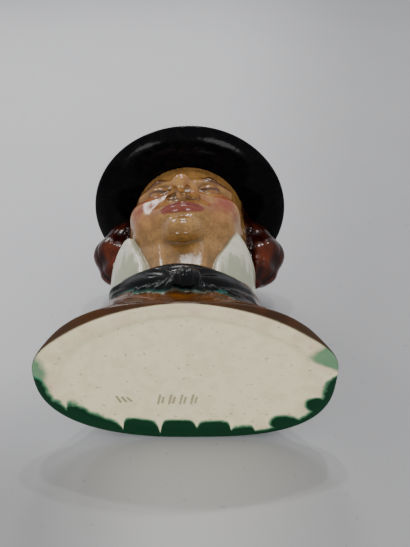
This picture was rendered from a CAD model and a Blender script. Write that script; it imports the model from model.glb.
"""The looks of the figural tobacco jar: a cast, hand-painted and glazed earthenware bust under a black hat.

Sculpting is in millimetres, as across (the figure's left), forward (out of the face) and up. The bust is one
smooth field of rounded forms with fine relief on it. Blocked-out primitives are voxel remeshed and settled
onto that field, then hollowed. Which form shows at a point also tells which glaze was brushed there.
"""

import logging
import math
from dataclasses import dataclass
from enum import Enum
from typing import Callable, Optional, Sequence

import bpy
import numpy as np
from mathutils import Matrix, Vector


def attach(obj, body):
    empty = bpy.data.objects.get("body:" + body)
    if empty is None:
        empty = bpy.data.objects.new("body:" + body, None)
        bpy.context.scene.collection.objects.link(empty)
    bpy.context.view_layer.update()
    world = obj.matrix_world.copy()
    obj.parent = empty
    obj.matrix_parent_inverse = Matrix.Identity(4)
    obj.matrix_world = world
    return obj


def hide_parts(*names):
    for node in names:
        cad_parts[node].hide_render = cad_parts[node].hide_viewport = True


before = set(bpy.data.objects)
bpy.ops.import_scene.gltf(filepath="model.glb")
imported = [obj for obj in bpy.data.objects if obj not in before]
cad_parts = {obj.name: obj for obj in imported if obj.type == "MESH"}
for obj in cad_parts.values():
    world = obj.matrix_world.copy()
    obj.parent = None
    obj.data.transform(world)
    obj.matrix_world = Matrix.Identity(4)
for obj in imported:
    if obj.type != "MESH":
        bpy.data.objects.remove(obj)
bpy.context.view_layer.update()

LOG = logging.getLogger("tobacco_jar")
MM = 0.001

Points = np.ndarray
Values = np.ndarray


# Distances and how forms meet.


def at(across: float, forward: float, up: float) -> Points:
    """Returns one place on the bust, in millimetres."""
    return np.array([across, forward, up], float)


def ellipsoid(p: Points, centre: Points, radii: Sequence[float]) -> Values:
    """Distance, near enough, from points to an ellipsoid.

    Args:
        p: The points, one a row.
        centre: Its middle.
        radii: Its three half axes.

    Returns:
        One distance a point, below zero inside.
    """
    radii = np.asarray(radii, float)
    q = (p - centre) / radii
    share = np.linalg.norm(q, axis=1)
    slope = np.linalg.norm(q / radii, axis=1)
    return share * (share - 1) / np.maximum(slope, 1e-9)


def limb(p: Points, start: Points, end: Points, start_radius: float, end_radius: float) -> Values:
    """Distance to a round limb that tapers.

    Args:
        p: The points.
        start: One end of its axis.
        end: The other end.
        start_radius: Its radius at the start.
        end_radius: Its radius at the end.

    Returns:
        One distance a point.
    """
    along = end - start
    share = np.clip((p - start) @ along / (along @ along), 0, 1)
    nearest = start + share[:, None] * along
    return np.linalg.norm(p - nearest, axis=1) - (start_radius + (end_radius - start_radius) * share)


def join(a: Values, b: Values, blend: float) -> Values:
    """Returns the union of two distances, rounded over by the blend."""
    share = np.clip(0.5 + 0.5 * (b - a) / blend, 0, 1)
    return b + (a - b) * share - blend * share * (1 - share)


def carve(a: Values, b: Values, blend: float) -> Values:
    """Returns the first form less the second, rounded over by the blend."""
    return -join(-a, b, blend)


def meet(a: Values, b: Values, blend: float) -> Values:
    """Returns what two forms share, rounded over by the blend."""
    return -join(-a, -b, blend)


def chain(p: Points, spots: Sequence[Points], radii: Sequence[float], blend: float = 1.5) -> Values:
    """Distance to limbs laid end to end.

    Args:
        p: The points.
        spots: The ends of the limbs, in order.
        radii: The radius at each of them.
        blend: How softly one limb runs into the next.

    Returns:
        One distance a point.
    """
    whole = limb(p, spots[0], spots[1], radii[0], radii[1])
    for a, b, ra, rb in zip(spots[1:], spots[2:], radii[1:], radii[2:]):
        whole = join(whole, limb(p, a, b, ra, rb), blend)
    return whole


def mirrored(p: Points) -> Points:
    """Returns the points with their distance across made positive, so that one form serves both sides."""
    return np.column_stack([np.abs(p[:, 0]), p[:, 1], p[:, 2]])


def turned(p: Points, angle: float) -> Points:
    """Returns the points as a form sees them that is itself turned about the upright axis."""
    across = p[:, 0] * math.cos(angle) - p[:, 1] * math.sin(angle)
    forward = p[:, 0] * math.sin(angle) + p[:, 1] * math.cos(angle)
    return np.column_stack([across, forward, p[:, 2]])


def strap(across: Values, along: Values, thick: float, tall: Values, rounding: float) -> Values:
    """Distance to a band of rounded rectangular section.

    Args:
        across: Distance from the band's middle through its thickness.
        along: Distance from its middle up its height.
        thick: Half its thickness.
        tall: Half its height.
        rounding: The radius of its corners.

    Returns:
        One distance a point.
    """
    a = np.abs(across) - thick + rounding
    b = np.abs(along) - tall + rounding
    return np.hypot(np.maximum(a, 0), np.maximum(b, 0)) + np.minimum(np.maximum(a, b), 0) - rounding


def column(p: Points, wide: Values, deep: Values, power: float = 2.0) -> Values:
    """Distance across the axis to an upright oval column.

    Args:
        p: The points.
        wide: Half its width, which may vary from point to point.
        deep: Half its depth.
        power: 2 for an ellipse, more for a squarer oval.

    Returns:
        One distance a point.
    """
    share = ((np.abs(p[:, 0]) / wide) ** power + (np.abs(p[:, 1]) / deep) ** power) ** (1 / power)
    return (share - 1) * np.minimum(wide, deep)


def bearing(p: Points, wide: float, deep: float) -> Values:
    """Returns the angle in degrees round an oval column, 0 at the front and 180 at the back."""
    return np.degrees(np.arctan2(np.abs(p[:, 0]) / wide, p[:, 1] / deep))


def rise(value: Values, start: float, end: float) -> Values:
    """Returns 0 before start, 1 after end, and a smooth step between."""
    share = np.clip((value - start) / (end - start), 0, 1)
    return share * share * (3 - 2 * share)


def bump(value: Values, width: float) -> Values:
    """Returns a smooth bump of height 1 about zero."""
    return np.exp(-((value / width) ** 2))


def flowing(value: Values, stations: Sequence[float], levels: Sequence[float]) -> Values:
    """A smooth curve through given levels.

    Args:
        value: Where it is read.
        stations: Where the levels are given, rising.
        levels: The levels there.

    Returns:
        The curve at each value.
    """
    stations, levels = np.asarray(stations, float), np.asarray(levels, float)
    value = np.clip(value, stations[0], stations[-1])
    slopes = np.gradient(levels, stations)
    span = np.clip(np.searchsorted(stations, value, side="right") - 1, 0, len(stations) - 2)
    width = stations[span + 1] - stations[span]
    t = (value - stations[span]) / width
    start = (1 + 2 * t) * (1 - t) ** 2 * levels[span] + t * (1 - t) ** 2 * width * slopes[span]
    return start + t * t * (3 - 2 * t) * levels[span + 1] + t * t * (t - 1) * width * slopes[span + 1]


def waves(turn: Values, count: float) -> Values:
    """Returns combed ridges across an angle: rounded locks with sharp valleys between."""
    return np.abs(np.sin(turn * count / 2)) - 0.6


# The sculpted forms.


@dataclass(frozen=True)
class Foot:
    """The oval foot that the jar stands on: a flat rim round a shallow, smooth recess."""

    width: float = 152.7
    depth: float = 97.0
    power: float = 2.1
    rim: float = 7.0
    recess: float = 2.0
    slope: float = 4.0
    dab_spots: tuple = (
        (-48.0, 13.4, 8.6), (-24.1, 9.2, 11.4), (-4.1, 9.2, 12.6), (14.5, 8.9, 11.6), (29.9, 6.2, 7.6),
    )
    dab_spread: float = 1.06
    dab_square: float = 5
    dab_round: float = 0.3
    blobs: tuple = ((52.5, -36.3, 8.4, 5.6), (67.5, -21.5, 6.0, 5.4))
    line: float = 5.8
    side_line: float = 6.8
    left_wash: float = 8.0
    right_wash: float = 11.5
    bleed: float = 2.2
    wash_bleed: float = 2.5

    def powers(self, p: Points) -> Values:
        """Returns how square the foot's oval is at each point: nearly pointed ahead, fuller behind."""
        behind = 2.4 + 0.5 * rise(p[:, 0], -30, 30)
        return 1.72 + (behind - 1.72) * rise(-p[:, 1], -30, 14)

    def inward(self, p: Points) -> Values:
        """Returns how far inside the foot's edge each point lies."""
        return -column(p, self.width / 2, self.depth / 2, self.powers(p))

    def field(self, p: Points) -> Values:
        """Returns the distance above which the bust begins."""
        return self.recess * rise(self.inward(p), self.rim - 1.0, self.rim + self.slope + 1.0) - p[:, 2]

    def dabs(self, p: Points) -> tuple:
        """The green brush dabs along the back edge of the underside, and the thin wash at its two ends.

        Args:
            p: The points.

        Returns:
            How far inside the dabs and how far inside the wash each point lies, in millimetres.
        """
        inward = self.inward(p)
        across, ahead = p[:, 0], p[:, 1]
        paint = self.line * rise(-ahead, -6, 6) - self.bleed - inward
        for middle, half, reach in self.dab_spots:
            share = np.abs(across - middle) / half / self.dab_spread
            edge = reach * np.maximum(1 - share**self.dab_square, 0) ** self.dab_round
            paint = np.maximum(paint, np.where((share < 1) & (ahead < -8), edge - inward, -9))
        for middle, back, wide, deep in self.blobs:
            paint = np.maximum(paint, -ellipsoid(p * (1, 1, 0), at(middle, back, 0), (wide, deep, 9)))
        side = self.side_line * bump(across + 64, 10) * rise(-ahead, 8, 18) - self.bleed
        paint = np.maximum(paint, side - inward)
        left = self.left_wash * bump(ahead - 2, 14) * (across < 0) - self.wash_bleed - inward
        right = self.right_wash * bump(ahead - 12, 8) * (across > 0) - self.wash_bleed - inward
        return paint, np.maximum(left, right)


@dataclass(frozen=True)
class Coat:
    """The coat: sloping shoulders on the foot, with a rolled collar, lapels and sleeve creases."""

    foot: Foot = Foot()
    top: float = 46.0
    heights: tuple = (-6, 0, 1.5, 4, 8, 14, 20, 26, 34, 42, 50, 60)
    widths: tuple = (0.985, 1.0, 0.985, 0.918, 0.862, 0.804, 0.746, 0.686, 0.602, 0.548, 0.526, 0.52)
    depths: tuple = (0.985, 1.0, 0.992, 0.962, 0.922, 0.865, 0.815, 0.775, 0.73, 0.70, 0.69, 0.69)
    shoulder_drop: float = 4.5
    roll_spots: tuple = ((0, -36.5, 50), (22, -32, 48.5), (37, -17, 44.5), (42.5, 2, 36.5), (38, 18, 27))
    roll_radii: tuple = (5.5, 5.4, 4.8, 4.0, 2.6)
    lapel_thick: float = 0.6
    crease_deep: float = 1.0
    seam_deep: float = 0.9
    weave_deep: float = 0.12

    def section(self, height: Values) -> tuple:
        """Returns half the coat's width and half its depth at each height."""
        wide = flowing(height, self.heights, self.widths) * self.foot.width / 2
        return wide, flowing(height, self.heights, self.depths) * self.foot.depth / 2

    def field(self, p: Points) -> Values:
        """Returns the distance to the coat."""
        m = mirrored(p)
        z = p[:, 2]
        shoulder = rise(p[:, 0], 6, 34) * rise(z, 8, 16) * rise(self.top - z, 0, 12) * rise(p[:, 1], 0, 18)
        shoulder = self.shoulder_drop * shoulder
        above = self.foot.power + 0.3 * rise(14 - z, 0, 8)
        below = self.foot.powers(p)
        power = below + (above - below) * rise(z, 0, 4.5 + 22 * rise(-p[:, 1], -4, 10))
        body = column(p, *self.section(z + shoulder), power)
        body = meet(body, z - self.top - 6 * rise(-p[:, 1], -10, 30), 4)
        roll = chain(m, [at(*spot) for spot in self.roll_spots], self.roll_radii)
        body = join(body, roll, 2.5)
        inner = (m[:, 0] - 4) - (z - 6) * 0.72
        outer = 47 - m[:, 0] - (34 - z) * 1.3 + 0.024 * (z - 20) ** 2
        lapel = rise(inner, 0, 1.6) * rise(outer, 0, 1.6) * rise(p[:, 1], 8, 16) * rise(24 - z, 0, 8)
        crease = bump(m[:, 0] - 56 + 0.16 * z, 2.0) * rise(p[:, 1], -4, 8) * rise(30 - z, 0, 10)
        seam = bump(p[:, 0], 1.3) * rise(-p[:, 1], 10, 20) * rise(44 - z, 0, 4)
        cloth = self.weave_deep * np.sin(p[:, 0] * 0.19 + z * 0.3) * np.sin(z * 0.24 - p[:, 1] * 0.13)
        relief = self.lapel_thick * lapel - self.crease_deep * crease - self.seam_deep * seam + cloth
        return body - relief * rise(z, 3, 9)


@dataclass(frozen=True)
class ShirtCollar:
    """The tall white collar, open at the throat, whose two points stand against the cheeks."""

    wide: float = 40.5
    deep: float = 34.5

    def field(self, p: Points) -> Values:
        """Returns the distance to the collar."""
        z = p[:, 2]
        angle = bearing(p, self.wide, self.deep)
        flare = 0.06 * np.maximum(z - 55, 0)
        wall = column(p, self.wide + flare, self.deep + 0.5 * flare)
        gap = 29 + 17 * rise(z, 48, 88)
        top = 89 - 12 * rise(angle, 44, 84) - 5 * rise(angle, 90, 150)
        wall = meet(wall, z - top, 1.2)
        wall = meet(wall, (gap - angle) * 0.55, 1.2)
        inside = column(p, self.wide - 5, self.deep - 4.5)
        wall = carve(wall, meet(inside, top - 3.5 - z, 2.0), 1.2)
        return wall + 0.22 * bump(top - z - 3.2, 0.8) * rise(angle, 40, 60)


@dataclass(frozen=True)
class Cravat:
    """The black cravat: a folded band round the neck, and a bow with a knot, two wings and two ends."""

    wide: float = 39.5
    deep: float = 33.5
    knot: tuple = (3.6, 41.5, 25.5)

    def lower_edge(self, p: Points) -> Values:
        """Returns the height of the band's lower edge at each point."""
        angle = bearing(p, self.wide, self.deep)
        return 22.5 + 19 * rise(angle, 8, 80) + 5 * rise(angle, 90, 160)

    def field(self, p: Points) -> Values:
        """Returns the distance to the cravat."""
        m = mirrored(p)
        x, z = m[:, 0], p[:, 2]
        knot = at(*self.knot)
        angle = bearing(p, self.wide, self.deep)
        low = self.lower_edge(p) - 6 * rise(p[:, 0], 8, 30)
        high = 46.0 - 2 * rise(angle, 5, 35) + 8 * rise(angle, 40, 85) + 5 * rise(angle, 90, 160)
        out = column(p, self.wide, self.deep)
        up = (z - (low + high) / 2) / ((high - low) / 2)
        tucked = 3.6 * rise(angle, 52, 78)
        band = strap(out + tucked, z - (low + high) / 2, 4.0, (high - low) / 2, 3.6)
        band = band + 0.42 * np.cos(up * 6.5 + angle * 0.045) * rise(1.05 - np.abs(up), 0, 0.3)
        reach = np.clip(x / 32.0, 0, 1.2)
        half_wing = 3.2 + 4.4 * np.sin(math.pi * np.clip(reach, 0, 1) ** 0.75) ** 0.7
        wing = strap(out - 4.2 + 3.6 * reach**2, z - (27.5 + 12.0 * reach**1.1), 3.2, half_wing, 2.8)
        wing = meet(meet(wing, x - 33.0, 4.0), 5 - p[:, 1], 3)
        fan = np.arctan2(z - knot[2] - 1.0, np.maximum(x - 1.0, 0.5))
        wing = wing + 0.6 * np.cos(fan * 10.0 + 0.5) * rise(reach, 0.16, 0.5) * rise(1.05 - reach, 0, 0.3)
        ends = limb(m, knot + at(1.0, -1.5, -2), at(9.5, 38.2, 19.5), 3.0, 4.0)
        ends = join(ends, limb(m, knot + at(2.0, -2.0, -2), at(19.0, 35.2, 22.5), 2.4, 3.4), 1.4)
        ends = ends + 0.45 * np.cos((x * 1.25 + (z - 30) * 0.9)) * rise(33 - z, 0, 3)
        tied = ellipsoid(p, knot, (7.2, 5.4, 7.6)) + 0.4 * np.cos((p[:, 0] - knot[0]) * 1.55)
        return join(join(join(band, ends, 1.6), wing, 1.0), tied, 0.7)


@dataclass(frozen=True)
class Head:
    """The bare head and throat. Its face is a plain, even one on the common thirds."""

    rim: float = 35.0
    mouth: tuple = (0.0, 44.6, 87.0)
    nose_tip: tuple = (0.0, 53.0, 100.0)
    nose_root: tuple = (0.0, 41.0, 119.0)
    eye: tuple = (14.2, 31.8, 112.5)
    cheek: tuple = (22.0, 27.0, 101.0)
    ball: float = 7.1
    cranium: tuple = ((0, -2, 112), (35.5, 40.5, 50))
    masses: tuple = (
        ((0, 14, 101), (33.0, 27.5, 36), 5),
        ((0, 15, 86), (28.5, 24.0, 18), 6),
        ((22.0, 27.0, 101.0), (9.5, 9.0, 9.0), 6),
        ((19, 28, 91), (8.5, 7.5, 9), 6),
        ((0, 34.2, 88.5), (15.5, 9.6, 11), 5),
        ((0.0, 36.0, 75.0), (9.5, 6.8, 7.2), 5),
    )

    def neck(self, p: Points) -> Values:
        """Returns the distance to the throat."""
        z = p[:, 2]
        lean = p - np.column_stack([np.zeros(len(z)), 0.10 * np.maximum(z - 58, 0), np.zeros(len(z))])
        throat = meet(column(lean, 36.0, 30.5), z - 84, 5)
        cords = 0.5 * bump(np.abs(p[:, 0]) - 11 - 0.12 * (z - 50), 3.0) * rise(p[:, 1], 15, 25)
        return meet(throat - cords, 34 - z, 3)

    def skull(self, p: Points) -> Values:
        """Returns the distance to the head's mass: cranium, hat rim, face, jaw, cheeks and chin."""
        m = mirrored(p)
        mass = ellipsoid(p, at(*self.cranium[0]), self.cranium[1])
        crown = meet(column(p, self.rim, self.rim + 3.0), 127 - p[:, 2], 18)
        mass = join(mass, crown, 8)
        for centre, radii, blend in self.masses:
            mass = join(mass, ellipsoid(m, at(*centre), radii), blend)
        return mass

    def nose(self, p: Points) -> Values:
        """Returns the distance to the nose."""
        m = mirrored(p)
        tip, root = at(*self.nose_tip), at(*self.nose_root)
        bridge = limb(p, root - at(0, 2.5, 0), tip - at(0, 3.0, 0), 3.6, 5.6)
        wing = ellipsoid(m, tip + at(6.0, -8.0, -1.0), (3.8, 6.0, 4.4))
        pillar = limb(p, tip + at(0, -10.5, -4.6), tip + at(0, -2.8, -2.4), 2.6, 3.0)
        return join(join(bridge, wing, 2.4), pillar, 2.2)

    def brows(self, p: Points) -> Values:
        """Returns the distance to the ridge over each eye."""
        spots = [at(7, 35.9, 120.2), at(15, 35.0, 122.4), at(25, 28.4, 119.4)]
        hairs = 0.22 * np.sin(np.abs(p[:, 0]) * 3.6 + p[:, 2] * 2.4)
        return chain(mirrored(p), spots, [3.0, 3.4, 2.8], 2.0) - hairs

    def lips(self, p: Points) -> Values:
        """Returns the distance to both lips, closed, drawn along a curve that follows the teeth round."""
        x, f, z = np.abs(p[:, 0]), p[:, 1], p[:, 2]
        share = np.clip(x / 12.8, 0, 1)
        full = np.sqrt(np.maximum(1 - share**2, 0.0)) * 0.9 + 0.1
        front = self.mouth[1] - 1.2 - 0.027 * x**2
        upper_mid = self.mouth[2] + 1.55 * full - 0.55 * bump(x, 2.2)
        lower_mid = self.mouth[2] - 1.85 * full
        past = np.maximum(x - 12.8, 0)
        upper = np.sqrt(((z - upper_mid) / 1.95) ** 2 + ((f - front) / 2.2) ** 2 + past**2)
        lower = np.sqrt(((z - lower_mid) / 2.25) ** 2 + ((f - front + 0.3) / 2.6) ** 2 + past**2)
        return join((upper - full) * 1.9, (lower - full) * 2.1, 0.35)

    def opening(self, p: Points) -> Values:
        """Returns how far inside the almond between the lids a point lies, seen from the front."""
        share = np.clip((np.abs(p[:, 0]) - self.eye[0]) / 6.9, -1, 1)
        arch = np.maximum(1 - share**2, 0.0)
        tilt = 0.35 * share
        top = self.eye[2] + tilt + 3.0 * arch**0.8
        bottom = self.eye[2] + tilt - 2.1 * arch
        return np.minimum(top - p[:, 2], p[:, 2] - bottom)

    def eyeball(self, p: Points) -> Values:
        """Returns the distance to the balls of the eyes."""
        return ellipsoid(mirrored(p), at(*self.eye), (self.ball, self.ball, self.ball))

    def field(self, p: Points) -> Values:
        """Returns the distance to the bare head with its face."""
        m = mirrored(p)
        eye, tip = at(*self.eye), at(*self.nose_tip)
        face = join(self.skull(p), self.nose(p), 2.2)
        face = carve(face, ellipsoid(m, eye + at(0.3, 12.0, 0.8), (9.2, 7.2, 6.4)), 4)
        face = join(face, self.brows(p), 4.5)
        lids = meet(ellipsoid(m, eye, (8.1, 8.0, 7.9)), -self.opening(p), 0.4)
        fold = 0.35 * bump(p[:, 2] - eye[2] - 5.2 + 0.03 * (m[:, 0] - eye[0]) ** 2, 0.6)
        face = join(face, lids, 1.2) + fold * rise(8 - np.abs(m[:, 0] - eye[0]), 0, 2) * rise(p[:, 1], 25, 30)
        face = join(face, self.eyeball(p), 0.15)
        face = carve(face, ellipsoid(p, at(0, 46.5, 79.6), (9, 4.6, 2.6)), 2.5)
        face = join(face, self.lips(p), 0.6)
        parting = bump(p[:, 2] - self.mouth[2] + 0.1, 0.55) * rise(13.2 - m[:, 0], 0, 1) * rise(p[:, 1], 34, 37)
        face = face + 0.55 * parting
        face = carve(face, limb(p, at(0, 46.6, 91.0), at(0, 46.9, 94.5), 1.2, 1.2), 1.2)
        return carve(face, ellipsoid(m, tip + at(3.5, -4.4, -4.6), (1.7, 3.0, 2.4)), 0.7)


@dataclass(frozen=True)
class Hair:
    """Brown hair: a cap behind the face, and a full bunch that flicks out over each ear."""

    bunch: tuple = ((35, -1, 132), (41, -5, 121), (46.4, -8, 108), (44, -10, 95), (40, -10, 85))
    bunch_radii: tuple = (5.0, 9.0, 11.4, 8.4, 4.0)

    def field(self, p: Points) -> Values:
        """Returns the distance to the hair, with its locks and finer strands."""
        m = mirrored(p)
        z = p[:, 2]
        cap = ellipsoid(p, at(0, -8, 108), (38.5, 38.5, 52))
        cap = meet(cap, 75 - z - 2 * np.cos(p[:, 0] * 0.5), 4)
        cap = meet(cap, p[:, 1] - 13 + 0.25 * (z - 100), 3)
        above = meet(column(p + at(0, 7, 0), 38.0, 38.0), 112 - z, 10)
        cap = join(cap, meet(above, p[:, 1] - 13, 3), 5)
        turn = np.arctan2(m[:, 0], -p[:, 1] - 8) + 0.10 * np.sin(z * 0.11) + 0.006 * (z - 100)
        cap = cap - 1.3 * waves(turn, 22) - 0.18 * waves(turn + 0.03 * np.sin(z * 0.3), 66)
        spots = [at(*spot) for spot in self.bunch]
        side = chain(m, spots, self.bunch_radii, 5.0)
        side = carve(side, ellipsoid(m, at(54, 3, 93), (6.5, 8, 8)), 3)
        heights = [spot[2] for spot in self.bunch[::-1]]
        middle_x = flowing(z, heights, [spot[0] for spot in self.bunch[::-1]])
        middle_f = flowing(z, heights, [spot[1] for spot in self.bunch[::-1]])
        around = np.arctan2(m[:, 0] - middle_x, p[:, 1] - middle_f) + 0.02 * (z - 100)
        strands = 0.9 * waves(around, 6) + 0.10 * waves(around + 0.05 * np.sin(z * 0.35), 26)
        side = side - strands * rise(z, 80, 90)
        return join(cap, side, 2.0)


@dataclass(frozen=True)
class Bust:
    """The whole figure, and which glaze shows where."""

    foot: Foot = Foot()
    coat: Coat = Coat()
    collar: ShirtCollar = ShirtCollar()
    cravat: Cravat = Cravat()
    head: Head = Head()
    hair: Hair = Hair()
    head_turn: float = math.radians(-4)
    collar_turn: float = math.radians(-2)
    collar_shift: tuple = (-2.6, 0.0, 0.0)
    seat: float = 139.0
    brush_edge: float = 0.28
    iris: float = 3.15
    pupil: float = 1.5

    def collared(self, p: Points) -> Points:
        """Returns the points as the collar sees them."""
        return turned(p - at(*self.collar_shift), self.collar_turn)

    def field(self, p: Points) -> Values:
        """Returns the distance to the whole bust up to the seat of the hat."""
        faced = turned(p, self.head_turn)
        whole = join(self.coat.field(p), self.head.neck(faced), 3)
        whole = join(whole, self.head.field(faced), 1.6)
        whole = join(whole, self.collar.field(self.collared(p)), 0.8)
        whole = join(whole, self.hair.field(p), 1.4)
        whole = join(whole, self.cravat.field(p - at(*self.collar_shift)), 1.0)
        return meet(whole, p[:, 2] - self.seat, 0.8)

    def rough(self, p: Points) -> Values:
        """Returns the distance to the bust as it is first sculpted, running past the foot."""
        return meet(self.field(p), -4 - p[:, 2], 1.2)

    def footed(self, p: Points) -> Values:
        """Returns the distance to the finished bust, with its foot."""
        return meet(self.field(p), self.foot.field(p), 1.2)

    def distances(self, p: Points) -> dict:
        """Returns the distance to each form that has a glaze of its own, by the name of its layer."""
        faced = turned(p, self.head_turn)
        behind_collar = rise(50 - p[:, 2], 0, 3) * rise(-p[:, 1], 2, 12)
        return {
            "coat": self.coat.field(p),
            "skin": np.minimum(self.head.neck(faced), self.head.field(faced)),
            "linen": self.collar.field(self.collared(p)) + 4 * behind_collar,
            "hair": self.hair.field(p),
            "silk": self.cravat.field(p - at(*self.collar_shift)),
        }

    def cloth_layers(self, p: Points) -> dict:
        """How much of each form's own glaze lies at each point, and the teal line below the cravat.

        Args:
            p: The points of the finished skin.

        Returns:
            A value from 0 to 1 for each point, by the name of its layer.
        """
        z = p[:, 2]
        forms = self.distances(p)
        shares = {name: np.exp(-np.clip(d, -3, 9) / self.brush_edge) for name, d in forms.items()}
        total = sum(shares.values()) + 1e-9
        layers = {name: share / total for name, share in shares.items() if name != "skin"}
        hem = 20 + 10 * rise(-p[:, 0], 0, 38) - 5.5 * rise(p[:, 0], 8, 34)
        black = rise(z - hem, -0.5, 0.5) * rise(p[:, 1], 14, 20) * rise(44 - np.abs(p[:, 0] + 2), 0, 6)
        black = black * rise(hem + 28 - z, 0, 4)
        layers["silk"] = np.maximum(layers["silk"], layers["coat"] * black)
        layers["coat"] = layers["coat"] * (1 - black)
        bare = rise(forms["silk"], 3.5, 0.6) * rise(46 - z, 0, 4) * rise(p[:, 1], 10, 16)
        layers["silk"] = np.maximum(layers["silk"], bare * (1 - layers["coat"]))
        line = bump(z - hem - 0.4, 1.3 - 0.7 * rise(p[:, 0], 4, 16)) * rise(forms["coat"], 2.6, 0.6)
        foot_of_bow = rise(forms["coat"], 1.9, 0.4) * rise(forms["silk"], 1.2, 0.3) * rise(28 - z, 0, 6)
        layers["teal"] = np.maximum(line, foot_of_bow) * rise(p[:, 1], 14, 24)
        layers["amber"] = bump(p[:, 0] + 4, 26) * rise(p[:, 1], 20, 34)
        layers["ends"] = rise(np.abs(p[:, 0]), 44, 62)
        layers["behind"] = rise(bearing(p, self.coat.foot.width, self.coat.foot.depth), 82, 118)
        return layers

    def head_layers(self, p: Points) -> dict:
        """What is painted on the head: eyes, lashes, brows, lips, blush, beard and the hollow of each bunch.

        Args:
            p: The points of the finished skin.

        Returns:
            A value from 0 to 1 for each point, by the name of its layer.
        """
        faced = turned(p, self.head_turn)
        m = mirrored(faced)
        z = p[:, 2]
        head = self.head
        eye = at(*head.eye)
        ahead = rise(faced[:, 1], 22, 28)
        opening = head.opening(faced)
        on_ball = rise(0.55 - head.eyeball(faced), 0, 0.45) * ahead
        gaze = np.hypot(m[:, 0] - eye[0], m[:, 2] - eye[2] - 0.3)
        eye_white = on_ball * rise(opening, -0.35, 0.35)
        cheek = at(*head.cheek) + at(1, 8, -2)
        blush = np.exp(-(np.linalg.norm(m - cheek, axis=1) / 12) ** 2)
        tip = np.exp(-(np.linalg.norm(faced - at(0, 56, 99), axis=1) / 6.5) ** 2)
        wings = np.exp(-(np.linalg.norm(m - at(8, 46, 98), axis=1) / 4) ** 2)
        cup = np.linalg.norm((mirrored(p) - at(46, 5, 96)) / (9, 9, 12), axis=1)
        return {
            "eye_white": eye_white,
            "iris": eye_white * rise(self.iris - gaze, -0.3, 0.3),
            "pupil": eye_white * rise(self.pupil - gaze, -0.3, 0.3),
            "lash": bump(opening - 0.1, 0.55) * ahead * rise(8.3 - np.abs(m[:, 0] - eye[0]), 0, 1.5),
            "brow": rise(0.9 - head.brows(faced), 0, 0.7) * ahead * rise(z, 118.5, 120),
            "lip": rise(0.75 - head.lips(faced), 0, 0.6) * rise(faced[:, 1], 34, 37),
            "blush": np.clip(blush + 0.45 * tip + 0.6 * wings, 0, 1),
            "beard": rise(90 - z, 0, 10) * rise(faced[:, 1], 18, 30),
            "cup": rise(1.1 - cup, 0, 0.5),
        }

    def foot_layers(self, p: Points, normals: Points) -> dict:
        """Where the cream of the underside and of the hollow lies, and the green brushed on it.

        Args:
            p: The points of the finished skin.
            normals: Their outward normals, in the same axes.

        Returns:
            A value for each point, by the name of its layer: 0 to 1, or millimetres for the dabs and the wash.
        """
        inward = self.foot.inward(p)
        inside = rise(-self.footed(p), 1.2, 1.8)
        reach = 0.7 + 2.3 * rise(inward, 1.5, 4)
        down = rise(-normals[:, 2], 0.55, 0.85) * rise(reach - p[:, 2], 0, 0.6)
        dabs, wash = self.foot.dabs(p)
        return {
            "foot": np.clip(down + inside, 0, 1),
            "dabs": dabs,
            "wash": wash,
            "rim": bump(inward - 4.0, 4.5) * down,
        }

    def glazes(self, p: Points, normals: Points, creases: Values) -> dict:
        """How much of each glaze lies at each point.

        Args:
            p: The points of the finished skin.
            normals: Their outward normals, in the same axes.
            creases: How hollow the skin is there.

        Returns:
            A value for each point, by the name of its layer.
        """
        layers = {**self.cloth_layers(p), **self.head_layers(p), **self.foot_layers(p, normals)}
        layers["crease"] = creases
        return layers


# Making meshes.


def only(obj: bpy.types.Object) -> None:
    """Selects this object alone and makes it the active one."""
    bpy.ops.object.select_all(action="DESELECT")
    obj.select_set(True)
    bpy.context.view_layer.objects.active = obj


def applied(obj: bpy.types.Object, kind: str, **settings: object) -> None:
    """Adds a modifier with these settings and applies it.

    Args:
        obj: The object that it shapes.
        kind: The modifier's type.
        settings: Its settings by name.
    """
    only(obj)
    modifier = obj.modifiers.new(kind.lower(), kind)
    for name, value in settings.items():
        setattr(modifier, name, value)
    bpy.ops.object.modifier_apply(modifier=modifier.name)


def points_of(mesh: bpy.types.Mesh, what: str = "co") -> Points:
    """Returns the mesh's points, or their normals, as across, forward and up."""
    flat = np.empty(len(mesh.vertices) * 3, np.float32)
    mesh.vertices.foreach_get(what, flat)
    return flat.reshape(-1, 3).astype(float) * (1, -1, 1)


def put_points(mesh: bpy.types.Mesh, points: Points) -> None:
    """Moves the mesh's points to places given in millimetres across, forward and up."""
    mesh.vertices.foreach_set("co", (points * (MM, -MM, MM)).astype(np.float32).ravel())
    mesh.update()


def neighbours(mesh: bpy.types.Mesh) -> tuple:
    """Returns both ends of every edge, and how many edges each point has."""
    ends = np.empty(len(mesh.edges) * 2, np.int32)
    mesh.edges.foreach_get("vertices", ends)
    a, b = ends.reshape(-1, 2).T
    size = len(mesh.vertices)
    return a, b, np.maximum(np.bincount(a, minlength=size) + np.bincount(b, minlength=size), 1)


def around(values: Values, a: Values, b: Values, count: Values) -> Values:
    """Returns the mean of each point's neighbours, for one value a point or for each of three."""
    if values.ndim == 2:
        return np.column_stack([around(values[:, axis], a, b, count) for axis in range(values.shape[1])])
    return (np.bincount(a, values[b], len(values)) + np.bincount(b, values[a], len(values))) / count


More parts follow.
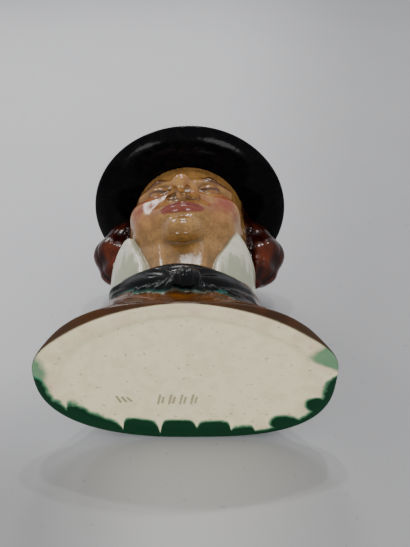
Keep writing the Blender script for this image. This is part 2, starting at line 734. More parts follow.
def settled(
    obj: bpy.types.Object,
    form: Callable,
    rounds: int,
    even_out: float = 0.5,
    stride: float = 1.5,
    step: float = 0.12,
) -> None:
    """Moves an object's points onto the surface where a field is zero, and keeps them evenly spread.

    Args:
        obj: The object, a closed skin near that surface.
        form: The field, in millimetres.
        rounds: How often.
        even_out: How much of the way a point goes to the middle of its neighbours, along the surface.
        stride: The furthest that a point goes in one round, in millimetres.
        step: How far apart the field is read to find its slope.
    """
    a, b, count = neighbours(obj.data)
    spots = points_of(obj.data) / MM
    for number in range(rounds + 1):
        here = form(spots)
        slope = np.empty_like(spots)
        for axis in range(3):
            nudge = np.zeros(3)
            nudge[axis] = step
            slope[:, axis] = (form(spots + nudge) - here) / step
        size = np.maximum(np.linalg.norm(slope, axis=1), 0.3)
        normal = slope / size[:, None]
        spots = spots - normal * np.clip(here / size, -stride, stride)[:, None]
        if number < rounds:
            drift = around(spots, a, b, count) - spots
            drift -= normal * np.sum(drift * normal, axis=1)[:, None]
            spots = spots + even_out * drift
    put_points(obj.data, spots)


def ball(centre: Points, radii: Sequence[float]) -> bpy.types.Object:
    """Returns an ellipsoid of the block-out, given in millimetres."""
    bpy.ops.object.select_all(action="DESELECT")
    bpy.ops.mesh.primitive_uv_sphere_add(segments=32, ring_count=16, radius=1)
    obj = bpy.context.active_object
    put_points(obj.data, points_of(obj.data) * np.asarray(radii, float) + centre)
    return obj


def drum(heights: Sequence[float], section: Callable, sides: int) -> bpy.types.Object:
    """An upright closed form, made from a cylinder that is cut across at each height.

    Args:
        heights: The heights of its rings, rising, in millimetres.
        section: Gives half the width and half the depth at each height.
        sides: How many sides it has.

    Returns:
        The new object.
    """
    low, high = heights[0], heights[-1]
    bpy.ops.object.select_all(action="DESELECT")
    bpy.ops.mesh.primitive_cylinder_add(vertices=sides, radius=1, depth=1, end_fill_type="NGON")
    obj = bpy.context.active_object
    bpy.ops.object.mode_set(mode="EDIT")
    for height in heights[1:-1]:
        bpy.ops.mesh.select_all(action="SELECT")
        bpy.ops.mesh.bisect(plane_co=(0, 0, (height - low) / (high - low) - 0.5), plane_no=(0, 0, 1))
    bpy.ops.object.mode_set(mode="OBJECT")
    unit = points_of(obj.data)
    level = low + (unit[:, 2] + 0.5) * (high - low)
    wide, deep = section(level)
    put_points(obj.data, np.column_stack([unit[:, 0] * wide, unit[:, 1] * deep, level]))
    return obj


def joined(objects: Sequence[bpy.types.Object], name: str) -> bpy.types.Object:
    """Returns one object that holds all of these."""
    only(objects[0])
    for obj in objects:
        obj.select_set(True)
    bpy.ops.object.join()
    objects[0].name = name
    return objects[0]


def creases_of(mesh: bpy.types.Mesh, rounds: int = 5) -> Values:
    """How hollow a skin is at each point.

    Args:
        mesh: The skin.
        rounds: How far the reading is spread, in edges.

    Returns:
        0 on ridges, 0.5 where it is flat and 1 in creases.
    """
    a, b, count = neighbours(mesh)
    spots = points_of(mesh) / MM
    normals = points_of(mesh, "normal")
    hollow = np.sum((around(spots, a, b, count) - spots) * normals, axis=1)
    for _ in range(rounds):
        hollow = 0.5 * hollow + 0.5 * around(hollow, a, b, count)
    spread = np.percentile(np.abs(hollow), 92) + 1e-9
    return np.clip(0.5 + 0.5 * hollow / spread, 0, 1)


# Finishes.


class Clay(Enum):
    """The colours of glaze that the painter used, as sRGB hex values."""

    SKIN = "A87C46"
    SKIN_SHADE = "6E4E26"
    BLUSH = "8C3E30"
    LIP = "7C302E"
    BEARD = "6B5A38"
    EYE_WHITE = "D9D6C6"
    IRIS = "5A3B1E"
    PUPIL = "0C0908"
    LASH = "3A2214"
    BROW = "4A2412"
    LINEN = "DAD6C0"
    LINEN_SHADE = "9EA284"
    HAIR = "6A2A0C"
    HAIR_DARK = "240806"
    SILK = "08080A"
    TEAL = "1F5F55"
    COAT = "603410"
    COAT_LIGHT = "8C5316"
    COAT_DARK = "34200F"
    COAT_GREY = "5E4C3A"
    GREEN = "05301B"
    GREEN_LIGHT = "2F7A58"
    CREAM = "EADFB8"
    CREAM_SHADE = "D3C8A0"
    CREAM_DARK = "857A5C"
    RIM = "D2B49A"
    SPECK = "6B5636"
    HAT = "060608"
    HAT_THIN = "15100D"
    TABLE = "C9C9CA"
    TABLE_CLOUD = "C2C2C4"
    TABLE_DUST = "8E8E90"
    TABLE_DULL = "101010"
    ROOM = "E4E5E8"

    @property
    def linear(self) -> tuple:
        """Returns the colour in linear light, with alpha 1."""
        return linear(self.value)


def linear(code: str) -> tuple:
    """Turns an sRGB hex value to linear light.

    Args:
        code: Six hex digits.

    Returns:
        Red, green, blue and an alpha of 1.
    """
    parts = [int(code[i:i + 2], 16) / 255 for i in (0, 2, 4)]
    return (*[c / 12.92 if c <= 0.04045 else ((c + 0.055) / 1.055) ** 2.4 for c in parts], 1.0)


def add_node(
    tree: bpy.types.NodeTree, kind: str, inputs: Optional[dict] = None, **settings: object
) -> bpy.types.Node:
    """Adds a node with its settings, values and links.

    Args:
        tree: The material's node tree.
        kind: The node's type, without its ShaderNode prefix.
        inputs: What each input holds, by its name or number: a value, a colour, or a socket that is linked.
        settings: The node's own settings.

    Returns:
        The new node.
    """
    made = tree.nodes.new("ShaderNode" + kind)
    for name, value in settings.items():
        setattr(made, name, value)
    for key, value in (inputs or {}).items():
        if isinstance(value, bpy.types.NodeSocket):
            tree.links.new(value, made.inputs[key])
        else:
            made.inputs[key].default_value = value.linear if isinstance(value, Clay) else value
    return made


def work_out(tree: bpy.types.NodeTree, found: dict, recipe: Sequence[tuple]) -> None:
    """Adds the nodes that work out new values from those found so far.

    Args:
        tree: The material's node tree.
        found: Sockets by name. Each new one is added to them.
        recipe: A line for each new value: its name, a Math operation and its two terms, or FADE, a term and two
            levels between which the value goes smoothly from 0 to 1.
    """
    for name, operation, *terms in recipe:
        first, second, *rest = [found.get(term, term) for term in terms]
        if operation == "FADE":
            span = {"Value": first, "From Min": second, "From Max": rest[0]}
            made = add_node(tree, "MapRange", span, interpolation_type="SMOOTHSTEP")
        else:
            made = add_node(tree, "Math", {0: first, 1: second}, operation=operation)
        found[name] = made.outputs[0]


def bare_material(name: str) -> tuple:
    """Returns a new material and its tree, with no nodes in it."""
    material = bpy.data.materials.new(name)
    material.use_nodes = True
    material.node_tree.nodes.clear()
    return material, material.node_tree


@dataclass(frozen=True)
class Brushing:
    """One colour, or a paint already mixed, brushed over what is there wherever all its masks let it lie."""

    colour: object
    masks: str
    strength: float = 1.0


@dataclass(frozen=True)
class MajolicaGlaze:
    """Coloured lead glazes on cast earthenware, brushed on by hand and fired.

    To the eye: wet gloss, colours that pool dark in the hollows and run thin on ridges, soft edges where two
    glazes met in the kiln, and small specks in the pale ones.
    """

    name: str = "majolica_glaze"
    roughness: float = 0.13
    ior: float = 1.52
    ragged: float = 0.9
    # Each grain's name, its size in millimetres and its detail.
    grains: tuple = (
        ("pools", 7.0, 4.0), ("brush", 11.0, 2.0), ("fine", 1.1, 1.0), ("coarse", 2.3, 1.0),
        ("stubble", 1.4, 2.0), ("wander", 4.0, 2.0), ("peel", 3.2, 2.0),
    )
    # The layers that the bust stores on its skin.
    layers: str = (
        "crease beard blush lip brow eye_white iris pupil lash cup teal amber ends behind rim pressed "
        "wash dabs linen hair coat silk foot"
    )
    # The masks, as work_out reads them.
    recipe: tuple = (
        ("deep", "FADE", "crease", 0.52, 0.95),
        ("ridge", "FADE", "crease", 0.5, 0.08),
        ("mottle", "FADE", "pools", 0.42, 0.62),
        ("flush", "FADE", "pools", 0.25, 0.6),
        ("specks", "FADE", "fine", 0.665, 0.71),
        ("coarse_specks", "FADE", "coarse", 0.69, 0.73),
        ("hairs", "FADE", "stubble", 0.53, 0.62),
        ("teal_streaks", "FADE", "brush", 0.35, 0.6),
        ("brown_streaks", "FADE", "brush", 0.36, 0.60),
        ("rim_streaks", "FADE", "brush", 0.3, 0.7),
        ("low_down", "FADE", "height", 0.012, 0.001),
        ("towards_back", "ADD", "behind", "brush"),
        ("at_back", "FADE", "towards_back", 0.88, 1.12),
        ("wash_edge", "ADD", "wash", "uneven"),
        ("washed", "FADE", "wash_edge", -1.0, 2.6),
        ("dab_edge", "ADD", "dabs", "uneven"),
        ("dabbed_thin", "FADE", "dab_edge", -1.2, 0.2),
        ("dabbed", "FADE", "dab_edge", -0.2, 1.2),
        ("thick", "MAXIMUM", "foot", "silk"),
        ("dark", "ADD", "coat", "hair"),
        ("dark_share", "MULTIPLY", "dark", 0.75),
        ("dull", "MAXIMUM", "dark_share", "thick"),
    )
    # Each paint's name, the colour it starts from and what is brushed over it. The last is the whole figure.
    paints: tuple = (
        ("skin", Clay.SKIN, (
            Brushing(Clay.SKIN_SHADE, "mottle", 0.45),
            Brushing(Clay.SKIN_SHADE, "deep", 0.75),
            Brushing(Clay.BEARD, "beard hairs", 0.55),
            Brushing(Clay.SPECK, "specks", 0.35),
            Brushing(Clay.BLUSH, "blush flush", 0.9),
            Brushing(Clay.LIP, "lip", 0.85),
            Brushing(Clay.BROW, "brow", 0.85),
            Brushing(Clay.EYE_WHITE, "eye_white"),
            Brushing(Clay.IRIS, "iris"),
            Brushing(Clay.PUPIL, "pupil"),
            Brushing(Clay.LASH, "lash", 0.8),
        )),
        ("linen", Clay.LINEN, (
            Brushing(Clay.LINEN_SHADE, "mottle", 0.30),
            Brushing(Clay.LINEN_SHADE, "deep", 0.85),
        )),
        ("hair", Clay.HAIR_DARK, (
            Brushing(Clay.HAIR, "ridge", 0.45),
            Brushing(Clay.HAIR, "cup", 0.9),
            Brushing(Clay.HAIR_DARK, "mottle", 0.4),
        )),
        ("silk", Clay.SILK, (Brushing(Clay.TEAL, "teal teal_streaks"),)),
        ("green", Clay.GREEN, (Brushing(Clay.GREEN_LIGHT, "ridge", 0.45),)),
        ("coat", Clay.COAT, (
            Brushing(Clay.COAT_DARK, "brown_streaks", 0.8),
            Brushing(Clay.COAT_LIGHT, "amber", 0.3),
            Brushing(Clay.COAT_GREY, "ends", 0.7),
            Brushing(Clay.COAT_DARK, "deep", 0.8),
            Brushing(Clay.COAT_DARK, "low_down", 0.7),
            Brushing("green", "at_back"),
            Brushing(Clay.TEAL, "teal", 0.9),
        )),
        ("cream", Clay.CREAM, (
            Brushing(Clay.CREAM_SHADE, "mottle", 0.35),
            Brushing(Clay.RIM, "rim rim_streaks", 0.6),
            Brushing(Clay.SPECK, "coarse_specks", 0.45),
            Brushing(Clay.CREAM_DARK, "pressed", 0.75),
            Brushing(Clay.GREEN_LIGHT, "washed", 0.85),
            Brushing(Clay.GREEN_LIGHT, "dabbed_thin", 0.9),
            Brushing(Clay.GREEN, "dabbed"),
        )),
        ("figure", "skin", (
            Brushing("linen", "linen"),
            Brushing("hair", "hair"),
            Brushing("coat", "coat"),
            Brushing("silk", "silk"),
            Brushing("cream", "foot"),
        )),
    )

    def values(self, tree: bpy.types.NodeTree) -> dict:
        """Returns the sockets of all that the glaze reads: grains, stored layers and the masks made of them."""
        place = add_node(tree, "TexCoord").outputs["Object"]
        found = {"height": add_node(tree, "SeparateXYZ", {0: place}).outputs["Z"]}
        for name, size, detail in self.grains:
            grain = {"Scale": 1 / (size * MM), "Detail": detail, "Vector": place}
            found[name] = add_node(tree, "TexNoise", grain).outputs["Fac"]
        for name in self.layers.split():
            found[name] = add_node(tree, "Attribute", attribute_name=name).outputs["Fac"]
        swing = {"Value": found["wander"], "To Min": -self.ragged, "To Max": self.ragged}
        found["uneven"] = add_node(tree, "MapRange", swing).outputs["Result"]
        work_out(tree, found, self.recipe)
        return found

    def painted(self, tree: bpy.types.NodeTree, found: dict) -> bpy.types.NodeSocket:
        """Brushes every colour over the ones below it.

        Args:
            tree: The glaze's node tree.
            found: The sockets of its masks by name.

        Returns:
            The socket of the finished colour.
        """
        mixed = {}
        for name, base, brushings in self.paints:
            colour = mixed.get(base, base)
            for brushing in brushings:
                amount, *others = [found[mask] for mask in brushing.masks.split()]
                for share in (*others, brushing.strength):
                    amount = add_node(tree, "Math", {0: amount, 1: share}, operation="MULTIPLY").outputs[0]
                top = mixed.get(brushing.colour, brushing.colour)
                colour = add_node(tree, "Mix", {0: amount, 6: colour, 7: top}, data_type="RGBA").outputs[2]
            mixed[name] = colour
        return colour

    def material(self) -> bpy.types.Material:
        """Returns the glaze, which reads the layers stored on the bust."""
        material, tree = bare_material(self.name)
        found = self.values(tree)
        relief = {"Strength": 0.22, "Distance": 0.0004, "Height": found["peel"]}
        relief = {
            "Strength": 0.15, "Distance": 0.00025, "Height": found["fine"],
            "Normal": add_node(tree, "Bump", relief).outputs["Normal"],
        }
        gloss = {"Value": found["pools"], "To Min": self.roughness - 0.03, "To Max": self.roughness + 0.07}
        sheen = {"Value": found["dull"], "To Min": 0.42, "To Max": 0.14}
        shader = add_node(tree, "BsdfPrincipled", {
            "IOR": self.ior,
            "Base Color": self.painted(tree, found),
            "Roughness": add_node(tree, "MapRange", gloss).outputs["Result"],
            "Normal": add_node(tree, "Bump", relief).outputs["Normal"],
            "Specular IOR Level": add_node(tree, "MapRange", sheen).outputs["Result"],
        })
        add_node(tree, "OutputMaterial", {"Surface": shader.outputs[0]})
        return material


@dataclass(frozen=True)
class BlackGlaze:
    """Black lead glaze on cast earthenware: deep wet gloss, faintly brown and uneven where it lies thin."""

    name: str = "black_hat_glaze"
    roughness: float = 0.07
    ior: float = 1.52
    specular: float = 0.06
    peel_mm: float = 5.0

    def material(self) -> bpy.types.Material:
        """Returns the glaze."""
        material, tree = bare_material(self.name)
        place = add_node(tree, "TexCoord").outputs["Object"]
        grain = {"Scale": 1 / (self.peel_mm * MM), "Detail": 3.0, "Vector": place}
        peel = add_node(tree, "TexNoise", grain).outputs["Fac"]
        thin = add_node(tree, "MapRange", {"Value": peel, "From Min": 0.5, "From Max": 0.8}).outputs["Result"]
        colour = add_node(tree, "Mix", {0: thin, 6: Clay.HAT, 7: Clay.HAT_THIN}, data_type="RGBA").outputs[2]
        relief = {"Strength": 0.25, "Distance": 0.0005, "Height": peel}
        gloss = {"Value": peel, "To Min": self.roughness, "To Max": self.roughness + 0.08}
        shader = add_node(tree, "BsdfPrincipled", {
            "IOR": self.ior,
            "Specular IOR Level": self.specular,
            "Base Color": colour,
            "Roughness": add_node(tree, "MapRange", gloss).outputs["Result"],
            "Normal": add_node(tree, "Bump", relief).outputs["Normal"],
        })
        add_node(tree, "OutputMaterial", {"Surface": shader.outputs[0]})
        return material


# The two pieces.


@dataclass
class BustPiece:
    """The jar's body: the glazed bust with its hollow, its mouth and the marks pressed into its foot."""

    bust: Bust = Bust()
    glaze: MajolicaGlaze = MajolicaGlaze()
    base_voxel: float = 1.4
    fine_voxel: float = 0.76
    wall: float = 5.5
    floor: float = 8.0
    mouth: float = 27.0
    lip: float = 8.0
    triangles: int = 179000
    shoulder_top: float = 46.0
    underside: float = 3.4
    # How coarse each remesh is, as a multiple of base_voxel, and how many rounds the skin then settles.
    remeshes: tuple = ((2.2, 10), (1.5, 6), (1.2, 4))
    # The hollow's outer half sizes at heights from the foot to the seat, before the wall is taken off.
    hollow_stations: tuple = (0, 34, 46, 72, 82, 92, 112, 139)
    hollow_wide: tuple = (90, 90, 37, 34, 28, 27, 31, 32)
    hollow_deep: tuple = (90, 90, 32, 29, 27, 29, 34, 34)
    # Two rows of pressed strokes: how many, where the first stands and how far apart they are.
    long_strokes: tuple = (4, -13.6, 5.7)
    short_strokes: tuple = (3, -35.6, 2.8)
    stroke_deep: float = 0.5

    def blockout(self) -> bpy.types.Object:
        """Returns the rough masses of the bust, joined in one object."""
        coat, seat = self.bust.coat, self.bust.seat

        def flat(wide: float, deep: float) -> Callable:
            """Returns a section that stays the same."""
            return lambda level: (np.full_like(level, wide), np.full_like(level, deep))

        def around_coat(level: Values) -> list:
            """Returns the coat's own section, a little larger."""
            return [1.12 * half for half in coat.section(level)]

        masses = [
            drum(np.linspace(-4, coat.top + 4, 9), around_coat, 48),
            drum(np.linspace(20, 84, 5), flat(40, 34), 40),
            drum(np.linspace(20, 54, 3), flat(46, 40), 40),
            ball(at(0, 34, 36), (33, 14, 14)),
            drum(np.linspace(110, seat, 3), flat(self.bust.head.rim, self.bust.head.rim), 40),
            ball(at(0, 0, 98), (37, 42, 40)),
            ball(at(0, 46, 101), (6, 9, 8)),
        ]
        masses += [ball(at(45 * side, -3, 107), (13, 13, 24)) for side in (-1, 1)]
        return joined(masses, "bust")

    def hollow(self, level: Values) -> tuple:
        """Returns half the width and half the depth of the hollow at each height."""
        in_mouth = level > self.bust.seat - self.lip + 0.01
        in_coat = level < self.shoulder_top
        halves = []
        outer = zip(self.bust.coat.section(level), (36.0, 30.5), (self.hollow_wide, self.hollow_deep))
        for coat, neck, limits in outer:
            half = np.minimum(np.where(in_coat, coat, neck), np.interp(level, self.hollow_stations, limits))
            halves.append(np.where(in_mouth, self.mouth, np.maximum(half - self.wall, 5)))
        return tuple(halves)

    def strokes(self) -> list:
        """Returns the ends of the short strokes pressed into the foot, as across and forward."""
        rows = []
        count, start, pitch = self.long_strokes
        for number in range(count):
            across = start + pitch * number
            rows.append(((across - 0.9, -23.2), (across + 0.5, -16.4)))
            rows.append(((across + 1.3, -22.4), (across + 2.2, -18.2)))
        count, start, pitch = self.short_strokes
        for number in range(count):
            across = start + pitch * number
            rows.append(((across, -17.4 - 0.6 * number), (across + 1.8, -21.8 + 0.4 * number)))
        return rows

    def press(self, obj: bpy.types.Object) -> None:
        """Presses two rows of short strokes into the foot, where the skin is first made finer."""
        mesh = obj.data
        only(obj)
        bpy.context.tool_settings.mesh_select_mode = (False, False, True)
        bpy.ops.object.mode_set(mode="EDIT")
        bpy.ops.mesh.select_all(action="DESELECT")
        bpy.ops.object.mode_set(mode="OBJECT")
        middles = np.empty(len(mesh.polygons) * 3, np.float32)
        mesh.polygons.foreach_get("center", middles)
        spots = middles.reshape(-1, 3) * (1, -1, 1) / MM
        marked = (spots[:, 2] < self.underside) & (self.depth_of_marks(spots, 1.6) > 0.02)
        mesh.polygons.foreach_set("select", marked)
        bpy.ops.object.mode_set(mode="EDIT")
        bpy.ops.mesh.subdivide(number_cuts=3)
        bpy.ops.object.mode_set(mode="OBJECT")
        p = points_of(mesh) / MM
        p[:, 2] += self.stroke_deep * self.depth_of_marks(p, 0.75) * (p[:, 2] < self.underside)
        put_points(mesh, p)

    def depth_of_marks(self, p: Points, reach: float) -> Values:
        """How deep the pressed strokes are at each point.

        Args:
            p: The points.
            reach: How far from a stroke's middle its slope ends, in millimetres.

        Returns:
            1 at the bottom of a stroke, 0 away from it.
        """
        depth = np.zeros(len(p))
        flat = p * (1, 1, 0)
        for start, end in self.strokes():
            away = limb(flat, at(*start, 0), at(*end, 0), 0.0, 0.0)
            depth = np.maximum(depth, 1 - rise(away, 0.2, reach))
        return depth

    def build(self) -> bpy.types.Object:
        """Returns the bust, sculpted, hollowed, glazed and in place of its solid."""
        obj = self.blockout()
        for voxel, rounds in self.remeshes:
            applied(obj, "REMESH", mode="VOXEL", voxel_size=voxel * self.base_voxel * MM)
            settled(obj, self.bust.rough, rounds)
        self.stand(obj)
        applied(obj, "REMESH", mode="VOXEL", voxel_size=self.fine_voxel * MM)
        settled(obj, self.bust.footed, 4, even_out=0.35, stride=0.6)
        sculpted = 2 * len(obj.data.polygons)
        self.thin(obj)
        self.hollow_out(obj)
        self.press(obj)
        obj.data.shade_smooth()
        obj.data.set_sharp_from_angle(angle=math.radians(62))
        self.dress(obj)
        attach(obj, "root")
        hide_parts("jar_body")
        kept = sum(len(face.vertices) - 2 for face in obj.data.polygons)
        LOG.info("bust: %d triangles sculpted, %d kept", sculpted, kept)
        return obj

    def stand(self, obj: bpy.types.Object) -> None:
        """Cuts the rough bust level where its foot begins, so that the foot keeps its full edge."""
        only(obj)
        bpy.ops.object.mode_set(mode="EDIT")
        bpy.ops.mesh.select_all(action="SELECT")
        bpy.ops.mesh.bisect(plane_co=(0, 0, 0), plane_no=(0, 0, -1), clear_outer=True, use_fill=True)
        bpy.ops.object.mode_set(mode="OBJECT")

    def thin(self, obj: bpy.types.Object) -> None:
        """Thins the plain parts of the skin, and leaves the face and the edge of the foot as they are."""
        p = points_of(obj.data) / MM
        face = (p[:, 1] > 22) & (p[:, 2] > 66) & (p[:, 2] < 128) & (np.abs(p[:, 0]) < 32)
        edge = (p[:, 2] < 4.0) & (self.bust.foot.inward(p) < 4)
        edge = edge | (p[:, 2] < self.underside)
        group = obj.vertex_groups.new(name="plain")
        group.add(np.where(~(face | edge))[0].tolist(), 1.0, "REPLACE")
        ratio = min(self.triangles / (2 * len(obj.data.polygons)), 1.0)
        if ratio < 1:
            applied(obj, "DECIMATE", ratio=ratio, vertex_group="plain")
        obj.vertex_groups.clear()

    def hollow_out(self, obj: bpy.types.Object) -> None:
        """Cuts the hollow and the mouth."""
        roof = self.bust.seat - self.lip
        levels = [*np.linspace(self.floor, 74, 12), *np.linspace(79, roof, 10), roof + 0.02, self.bust.seat + 6]
        cutter = drum(levels, self.hollow, 96)
        applied(obj, "BOOLEAN", operation="DIFFERENCE", object=cutter, solver="EXACT")
        bpy.data.objects.remove(cutter)

    def dress(self, obj: bpy.types.Object) -> None:
        """Stores the layers of glaze on the skin and gives it the glaze that reads them."""
        mesh = obj.data
        layers = self.bust.glazes(points_of(mesh) / MM, points_of(mesh, "normal"), creases_of(mesh))
        layers["pressed"] = self.depth_of_marks(points_of(mesh) / MM, 0.9) * layers["foot"]
        for name, values in layers.items():
            stored = mesh.attributes.new(name, "FLOAT", "POINT")
            stored.data.foreach_set("value", values.astype(np.float32))
        mesh.materials.clear()
        mesh.materials.append(self.glaze.material())


@dataclass
class HatPiece:
    """The lid: a round hat with a low crown, a plain band, a rolled brim and the ring that locates it."""

    seat: float = 139.3
    brim: float = 62.0
    brim_thick: float = 3.8
    lift: float = 3.2
    roll: float = 5.0
    crown: float = 42.5
    crown_tall: float = 33.0
    crown_wall: float = 4.5
    band_tall: float = 9.0
    band_thick: float = 1.2
    mouth: float = 27.0
    seat_wide: float = 8.0
    clearance: float = 1.2
    ring_deep: float = 9.0
    ring_wall: float = 4.0
    steps: int = 160
    glaze: BlackGlaze = BlackGlaze()

    def outline(self) -> list:
        """Returns the hat's half section, from the middle of the crown down its outer side and back inside."""
        base, brim_top = self.seat, self.seat + self.brim_thick
        top = brim_top + self.crown_tall
        shoulder = 0.62 * self.crown_tall
        turn = np.radians(np.linspace(90, 4, 20))
        rows = [(self.crown * math.cos(a) ** 0.85, top - shoulder + shoulder * math.sin(a)) for a in turn]
        band_top = brim_top + self.band_tall
        rows += [(self.crown, band_top + 0.6), (self.crown + 0.5, band_top + 0.1)]
        rows += [(self.crown + self.band_thick, band_top - 0.6), (self.crown + self.band_thick, brim_top + 1.2)]
        rows += [(self.crown + 1.9, brim_top + 0.35), (self.crown + 5, brim_top)]
        rise_at = self.brim - self.roll
        edge_radius = self.brim_thick / 2
        edge = (self.brim - edge_radius, base + self.lift + edge_radius + self.roll * 0.35)
        for share in np.linspace(0.15, 0.9, 5):
            across = self.crown + 5 + (rise_at - self.crown - 5) * share
            rows.append((across, brim_top + self.lift * share**1.5))
        rows.append((rise_at, brim_top + self.lift * 0.98))
        turn = np.radians(np.linspace(108, -68, 11))
        rows += [(edge[0] + edge_radius * math.cos(a), edge[1] + edge_radius * math.sin(a)) for a in turn]
        rows.append((rise_at + 0.8, base + self.lift * 0.92))
        seat_edge = self.mouth + self.seat_wide
        for share in np.linspace(0.85, 0.0, 6):
            rows.append((seat_edge + (rise_at - seat_edge) * share, base + self.lift * 0.92 * share**2))
        ring = self.mouth - self.clearance
        foot = base - self.ring_deep
        rows += [(ring + 0.4, base), (ring, base - 0.5), (ring, foot + 1.0), (ring - 0.3, foot + 0.3)]
        rows += [(ring - 1.0, foot), (ring - self.ring_wall + 0.6, foot), (ring - self.ring_wall, foot + 0.6)]
        rows.append((ring - self.ring_wall, base + self.brim_thick))
        inner, inner_top = self.crown - self.crown_wall, top - self.crown_wall
        inner_shoulder = shoulder - 0.5 * self.crown_wall
        turn = np.radians(np.linspace(0, 90, 12))
        for a in turn:
            up = inner_top - inner_shoulder + inner_shoulder * math.sin(a)
            rows.append((inner * math.cos(a) ** 0.85, up))
        return rows

    def build(self) -> bpy.types.Object:
        """Returns the hat, turned, slightly uneven as cast ware is, glazed and in place of its solid."""
        rows = self.outline()
        mesh = bpy.data.meshes.new("hat")
        mesh.from_pydata(
            [(max(x, 0.0) * MM, 0, z * MM) for x, z in rows], [(i, i + 1) for i in range(len(rows) - 1)], []
        )
        obj = bpy.data.objects.new("hat", mesh)
        bpy.context.scene.collection.objects.link(obj)
        applied(
            obj, "SCREW", axis="Z", angle=2 * math.pi, steps=self.steps, render_steps=self.steps,
            use_merge_vertices=True, merge_threshold=0.00001,
        )
        p = points_of(obj.data) / MM
        turn = np.arctan2(p[:, 0], p[:, 1])
        out = rise(np.hypot(p[:, 0], p[:, 1]), 45, 58)
        sag = 0.30 * (np.sin(2 * turn + 0.6) + 0.5 * np.sin(5 * turn) - 1.4) * out
        put_points(obj.data, p + np.column_stack([0 * sag, 0 * sag, sag]))
        obj.data.shade_smooth()
        obj.data.set_sharp_from_angle(angle=math.radians(50))
        obj.data.materials.clear()
        obj.data.materials.append(self.glaze.material())
        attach(obj, "root")
        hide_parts("hat_lid")
        LOG.info("hat: %d faces", len(obj.data.polygons))
        return obj


# The stage.


@dataclass
class Table:
    """The pale table that the jar lies back on: here it stands behind it, and shows from its face only."""

    foot_edge: tuple = (48.6, 3.0)
    brim_edge: tuple = (62.6, 143.5)
    size: float = 4.0
    middle_up: float = 0.25
    # Where the table is duller: spread is the camera's distance along its view at each height.
    dull_recipe: tuple = (
        ("climb", "MULTIPLY", "up", 0.84),
        ("spread", "ADD", "climb", 0.378),
        ("bearing", "DIVIDE", "across", "spread"),
        ("rightwards", "FADE", "bearing", 0.0, 0.26),
        ("right", "MULTIPLY", "rightwards", 0.30),
        ("low", "FADE", "up", 0.07, -0.05),
        ("leftwards", "FADE", "bearing", -0.02, -0.24),
        ("corner", "MULTIPLY", "low", "leftwards"),
        ("near", "MULTIPLY", "corner", 0.42),
        ("dull", "MAXIMUM", "right", "near"),
    )

    def material(self) -> bpy.types.Material:
        """Returns matt pale paint that shows from the front and lets the eye through from behind."""
        material, tree = bare_material("table_paint")
        place = add_node(tree, "TexCoord").outputs["Object"]
        cloud = add_node(tree, "TexNoise", {"Scale": 9.0, "Detail": 4.0, "Vector": place}).outputs["Fac"]
        dust = add_node(tree, "TexNoise", {"Scale": 260.0, "Detail": 1.0, "Vector": place}).outputs["Fac"]
        span = {"Value": dust, "From Min": 0.72, "From Max": 0.76, "To Max": 0.25}
        dust = add_node(tree, "MapRange", span).outputs["Result"]
        parts = add_node(tree, "SeparateXYZ", {0: place}).outputs
        found = {"across": parts["X"], "up": parts["Z"]}
        work_out(tree, found, self.dull_recipe)
        base = Clay.TABLE
        for amount, colour in (
            (cloud, Clay.TABLE_CLOUD), (dust, Clay.TABLE_DUST), (found["dull"], Clay.TABLE_DULL),
        ):
            base = add_node(tree, "Mix", {0: amount, 6: base, 7: colour}, data_type="RGBA").outputs[2]
        paint = add_node(tree, "BsdfPrincipled", {"Roughness": 0.6, "Base Color": base})
        clear = add_node(tree, "BsdfTransparent")
        behind = add_node(tree, "NewGeometry").outputs["Backfacing"]
        mixed = add_node(tree, "MixShader", {0: behind, 1: paint.outputs[0], 2: clear.outputs[0]})
        add_node(tree, "OutputMaterial", {"Surface": mixed.outputs[0]})
        return material

    def build(self) -> bpy.types.Object:
        """Returns the table, placed against the foot's back edge and the brim's."""
        low = Vector((0, self.foot_edge[0] * MM, self.foot_edge[1] * MM))
        up = (Vector((0, self.brim_edge[0] * MM, self.brim_edge[1] * MM)) - low).normalized()
        facing = Vector((1, 0, 0)).cross(up)
        bpy.ops.object.select_all(action="DESELECT")
        bpy.ops.mesh.primitive_plane_add(size=self.size)
        obj = bpy.context.active_object
        obj.name = "table"
        turn = Matrix((Vector((1, 0, 0)), up, facing)).transposed().to_4x4()
        turn.translation = low + up * self.middle_up
        obj.data.transform(turn)
        obj.data.materials.append(self.material())
        obj.visible_shadow = False
        LOG.info("table faces %s", tuple(round(c, 3) for c in facing))
        return obj


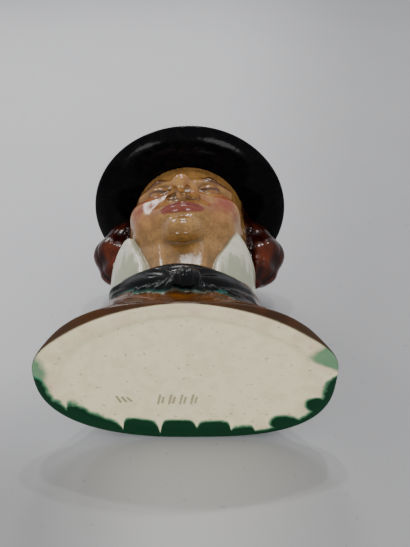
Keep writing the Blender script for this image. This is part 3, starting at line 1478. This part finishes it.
@dataclass(frozen=True)
class Lamp:
    """One soft lamp, aimed at the jar."""

    name: str
    place: tuple
    size: float
    power: float
    tall: float = 0.0

    def build(self) -> bpy.types.Object:
        """Returns the lamp."""
        data = bpy.data.lights.new(self.name, "AREA")
        data.shape = "RECTANGLE" if self.tall else "DISK"
        data.size = self.size
        data.size_y = self.tall or self.size
        data.energy = self.power
        obj = bpy.data.objects.new(self.name, data)
        bpy.context.scene.collection.objects.link(obj)
        obj.location = self.place
        obj.rotation_euler = (Vector((0, 0, 0.08)) - obj.location).to_track_quat("-Z", "Y").to_euler()
        return obj


@dataclass(frozen=True)
class PhotoCamera:
    """The camera at the photograph's place: in front of the foot and below it, looking up at the throat."""

    place: tuple = (0.0099, -0.2588, -0.2379)
    forward: tuple = (0.0, 0.630, 0.7766)
    lens: float = 46.07

    def build(self) -> bpy.types.Object:
        """Returns the scene's camera."""
        data = bpy.data.cameras.new("camera")
        data.lens = self.lens
        data.sensor_width = 36.0
        data.sensor_fit = "AUTO"
        obj = bpy.data.objects.new("camera", data)
        bpy.context.scene.collection.objects.link(obj)
        look = Vector(self.forward).normalized()
        right = Vector((1, 0, 0))
        stand = Matrix((right, right.cross(look), -look)).transposed().to_4x4()
        stand.translation = self.place
        obj.matrix_world = stand
        bpy.context.scene.camera = obj
        return obj


@dataclass
class Studio:
    """The plain soft light of the photograph: an even pale room, and lamps above, below and behind."""

    lamps: tuple = (
        Lamp("throat_left", (-0.46, -0.48, 0.93), 0.13, 1.5, 0.34),
        Lamp("throat", (-0.05, -0.67, 0.93), 0.22, 2.3, 0.34),
        Lamp("under_left", (-0.46, -0.10, -0.90), 0.34, 3.0),
        Lamp("under_right", (0.29, -0.16, -0.95), 0.34, 3.0),
        Lamp("spark_left", (-0.10, -1.25, 0.62), 0.05, 2.6),
        Lamp("spark_right", (0.16, -1.25, 0.66), 0.05, 2.6),
        Lamp("back", (0.5, 1.1, 0.7), 0.8, 10.0),
    )
    room: float = 0.86

    def build(self) -> None:
        """Lights the scene."""
        world = bpy.data.worlds.new("pale_room")
        world.use_nodes = True
        backdrop = world.node_tree.nodes["Background"]
        backdrop.inputs["Color"].default_value = Clay.ROOM.linear
        backdrop.inputs["Strength"].default_value = self.room
        bpy.context.scene.world = world
        for lamp in self.lamps:
            lamp.build()


def main() -> None:
    """Builds the pieces in order, then the stage, the light and the camera."""
    logging.basicConfig(level=logging.INFO, format="%(name)s: %(message)s")
    BustPiece().build()
    HatPiece().build()
    Table().build()
    Studio().build()
    PhotoCamera().build()


if __name__ == "__main__":
    main()
